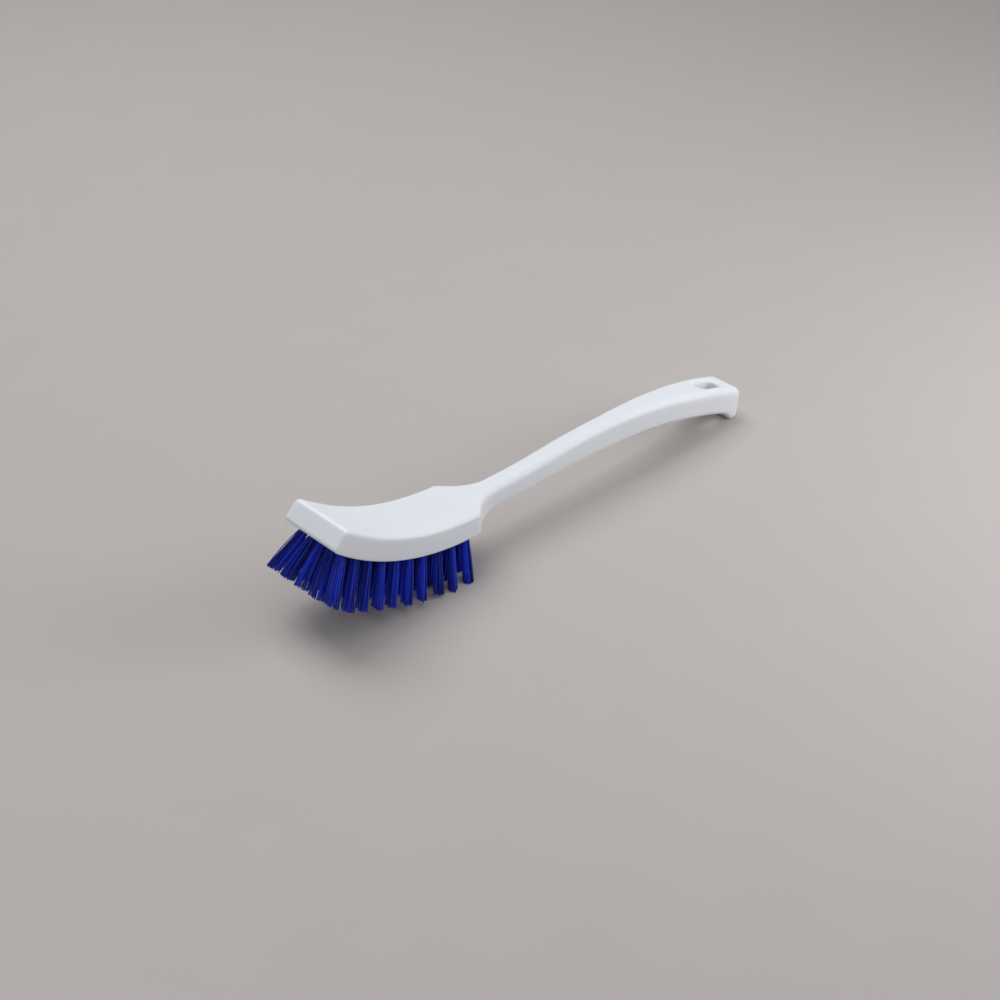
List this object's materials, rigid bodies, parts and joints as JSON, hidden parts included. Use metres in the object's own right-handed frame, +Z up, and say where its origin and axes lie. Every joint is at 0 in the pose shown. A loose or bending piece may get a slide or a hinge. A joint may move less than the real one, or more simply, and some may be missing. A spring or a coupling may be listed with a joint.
{
  "type": "long-handled cleaning brush",
  "caption": "Scrubbing brush with filament tufts in a curved block, and a long moulded handle with a hanging hole and a foot at its end.",
  "frame": {"origin": "on the surface that the brush lies on, under the middle of its length and width", "axes": "+X along the handle, from the brush head to the hanging hole; +Y across the brush; +Z up"},
  "size_m": [0.3412, 0.0554, 0.0691],
  "materials": {
    "white_polypropylene": "satin moulded polypropylene",
    "blue_filament": "glossy drawn filament, trimmed ends"
  },
  "bodies": {
    "root": {"handle_block": "white_polypropylene", "tuft_row_01_a": "blue_filament", "tuft_row_01_b": "blue_filament", "tuft_row_01_c": "blue_filament", "tuft_row_01_d": "blue_filament", "tuft_row_01_e": "blue_filament", "tuft_row_02_a": "blue_filament", "tuft_row_02_b": "blue_filament", "tuft_row_02_c": "blue_filament", "tuft_row_02_d": "blue_filament", "tuft_row_02_e": "blue_filament", "tuft_row_03_a": "blue_filament", "tuft_row_03_b": "blue_filament", "tuft_row_03_c": "blue_filament", "tuft_row_03_d": "blue_filament", "tuft_row_03_e": "blue_filament", "tuft_row_04_a": "blue_filament", "tuft_row_04_b": "blue_filament", "tuft_row_04_c": "blue_filament", "tuft_row_04_d": "blue_filament", "tuft_row_04_e": "blue_filament", "tuft_row_05_a": "blue_filament", "tuft_row_05_b": "blue_filament", "tuft_row_05_c": "blue_filament", "tuft_row_05_d": "blue_filament", "tuft_row_05_e": "blue_filament", "tuft_row_06_a": "blue_filament", "tuft_row_06_b": "blue_filament", "tuft_row_06_c": "blue_filament", "tuft_row_06_d": "blue_filament", "tuft_row_06_e": "blue_filament", "tuft_row_07_a": "blue_filament", "tuft_row_07_b": "blue_filament", "tuft_row_07_c": "blue_filament", "tuft_row_07_d": "blue_filament", "tuft_row_07_e": "blue_filament", "tuft_row_08_a": "blue_filament", "tuft_row_08_b": "blue_filament", "tuft_row_08_c": "blue_filament", "tuft_row_08_d": "blue_filament", "tuft_row_08_e": "blue_filament", "tuft_row_09_a": "blue_filament", "tuft_row_09_b": "blue_filament", "tuft_row_09_c": "blue_filament", "tuft_row_09_d": "blue_filament", "tuft_row_09_e": "blue_filament", "tuft_row_10_a": "blue_filament", "tuft_row_10_b": "blue_filament", "tuft_row_10_c": "blue_filament", "tuft_row_10_d": "blue_filament", "tuft_row_10_e": "blue_filament"}
  },
  "joints": []
}
